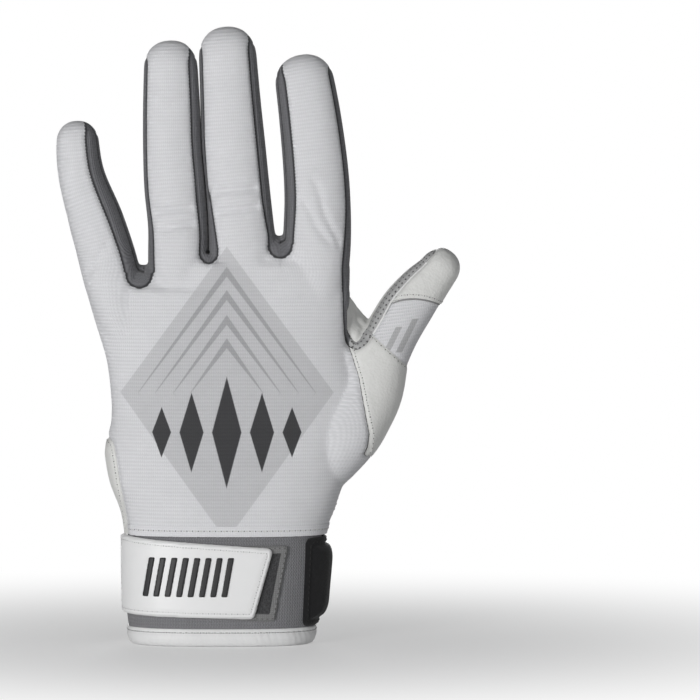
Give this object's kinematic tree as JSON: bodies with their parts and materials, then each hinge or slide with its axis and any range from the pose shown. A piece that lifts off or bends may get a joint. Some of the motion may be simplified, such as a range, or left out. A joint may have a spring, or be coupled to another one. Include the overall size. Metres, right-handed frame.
{
  "type": "protective inner glove",
  "caption": "Padded inner glove for a left hand: knit back, leather palm with foam pads, gusseted fingers, elastic cuff, wrist strap and pull tab.",
  "frame": {"origin": "middle of the footprint of the whole glove, on the plane that its hem stands on", "axes": "+Z from the hem to the fingertips, +X towards the thumb, +Y out of the palm"},
  "size_m": [0.1548, 0.0676, 0.2373],
  "materials": {
    "knit": "ribbed mesh knit, grey print",
    "leather": "soft white synthetic leather, fine grain",
    "fourchette": "dark grey stretch knit",
    "mesh_strip": "light grey perforated mesh",
    "elastic": "ribbed grey elastic",
    "binding": "white bound edge",
    "strap_coating": "smooth white coated leather",
    "hook_and_loop": "black loop fabric",
    "black_rubber": "satin moulded rubber",
    "black_padding": "black padded neoprene",
    "black_webbing": "woven black webbing",
    "foam": "soft closed-cell foam"
  },
  "bodies": {
    "hand": {"palm_pad": "foam", "pinky_ring_web": "fourchette", "ring_middle_web": "fourchette", "middle_index_web": "fourchette", "thumb_crotch_gusset": "fourchette", "wrist_gore": "leather", "hand_back_knit": "knit", "thumb_base_leather": "leather", "palm_leather": "leather", "cuff_elastic": "elastic", "hem_binding": "binding", "closure_patch": "hook_and_loop", "wrist_side_pad": "black_padding"},
    "index_lower": {"index_pad_lower": "foam", "index_fourchette_pinky_side_lower": "fourchette", "index_fourchette_thumb_side_lower": "fourchette", "index_back_lower": "knit", "index_palm_lower": "leather"},
    "index_upper": {"index_pad_upper": "foam", "index_fourchette_pinky_side_upper": "fourchette", "index_fourchette_thumb_side_upper": "fourchette", "index_back_upper": "knit", "index_palm_upper": "leather"},
    "middle_lower": {"middle_pad_lower": "foam", "middle_fourchette_pinky_side_lower": "fourchette", "middle_fourchette_thumb_side_lower": "fourchette", "middle_back_lower": "knit", "middle_palm_lower": "leather"},
    "middle_upper": {"middle_pad_upper": "foam", "middle_fourchette_pinky_side_upper": "fourchette", "middle_fourchette_thumb_side_upper": "fourchette", "middle_back_upper": "knit", "middle_palm_upper": "leather"},
    "ring_lower": {"ring_pad_lower": "foam", "ring_fourchette_pinky_side_lower": "fourchette", "ring_fourchette_thumb_side_lower": "fourchette", "ring_back_lower": "knit", "ring_palm_lower": "leather"},
    "ring_upper": {"ring_pad_upper": "foam", "ring_fourchette_pinky_side_upper": "fourchette", "ring_fourchette_thumb_side_upper": "fourchette", "ring_back_upper": "knit", "ring_palm_upper": "leather"},
    "pinky_lower": {"pinky_pad_lower": "foam", "pinky_fourchette_thumb_side_lower": "fourchette", "pinky_back_lower": "knit", "pinky_palm_lower": "leather"},
    "pinky_upper": {"pinky_fourchette_thumb_side_upper": "fourchette", "pinky_back_upper": "knit", "pinky_palm_upper": "leather"},
    "thumb_lower": {"thumb_knuckle_knit_lower": "knit", "thumb_side_strip_lower": "mesh_strip", "thumb_palm_lower": "leather"},
    "thumb_upper": {"thumb_knuckle_knit_upper": "knit", "thumb_side_strip_upper": "mesh_strip", "thumb_palm_upper": "leather", "thumb_cap": "leather"},
    "strap": {"strap": "strap_coating", "strap_grip": "black_rubber"},
    "pull_tab": {"pull_tab": "black_webbing"}
  },
  "joints": [
    {"name": "index_knuckle", "type": "hinge", "parent": "hand", "child": "index_lower", "pos_m": [0.0227, 0.00589, 0.147], "axis": [-1, 0, 0], "range_deg": [0, 85]},
    {"name": "index_bend", "type": "hinge", "parent": "index_lower", "child": "index_upper", "pos_m": [0.02244, 0.00566, 0.18314], "axis": [-0.9962, 0, -0.0871], "range_deg": [0, 95]},
    {"name": "middle_knuckle", "type": "hinge", "parent": "hand", "child": "middle_lower", "pos_m": [-0.0052, 0.00589, 0.147], "axis": [-1, 0, 0], "range_deg": [0, 85]},
    {"name": "middle_bend", "type": "hinge", "parent": "middle_lower", "child": "middle_upper", "pos_m": [-0.00939, 0.00569, 0.18814], "axis": [-0.9981, 0, -0.0609], "range_deg": [0, 95]},
    {"name": "ring_knuckle", "type": "hinge", "parent": "hand", "child": "ring_lower", "pos_m": [-0.0313, 0.00579, 0.147], "axis": [-1, 0, 0], "range_deg": [0, 85]},
    {"name": "ring_bend", "type": "hinge", "parent": "ring_lower", "child": "ring_upper", "pos_m": [-0.03331, 0.00546, 0.18566], "axis": [-0.9992, 0, -0.0388], "range_deg": [0, 95]},
    {"name": "pinky_knuckle", "type": "hinge", "parent": "hand", "child": "pinky_lower", "pos_m": [-0.0549, 0.00549, 0.1371], "axis": [-1, 0, 0], "range_deg": [0, 85]},
    {"name": "pinky_bend", "type": "hinge", "parent": "pinky_lower", "child": "pinky_upper", "pos_m": [-0.06373, 0.00508, 0.16794], "axis": [-0.9408, 0, -0.339], "range_deg": [0, 95]},
    {"name": "thumb_swing", "type": "hinge", "parent": "hand", "child": "thumb_lower", "pos_m": [0.04957, 0.01114, 0.10938], "axis": [-0.892, 0, 0.452], "range_deg": [0, 45]},
    {"name": "thumb_bend", "type": "hinge", "parent": "thumb_lower", "child": "thumb_upper", "pos_m": [0.05662, 0.01106, 0.12152], "axis": [-0.8601, 0, 0.5102], "range_deg": [0, 65]},
    {"name": "strap_peel", "type": "hinge", "parent": "hand", "child": "strap", "pos_m": [-0.0543, -0.00971, 0.026], "axis": [0, 0, -1], "range_deg": [0, 110]},
    {"name": "tab_lift", "type": "hinge", "parent": "hand", "child": "pull_tab", "pos_m": [-0.0168, 0.01769, 0.0374], "axis": [1, 0, 0], "range_deg": [0, 110]}
  ]
}
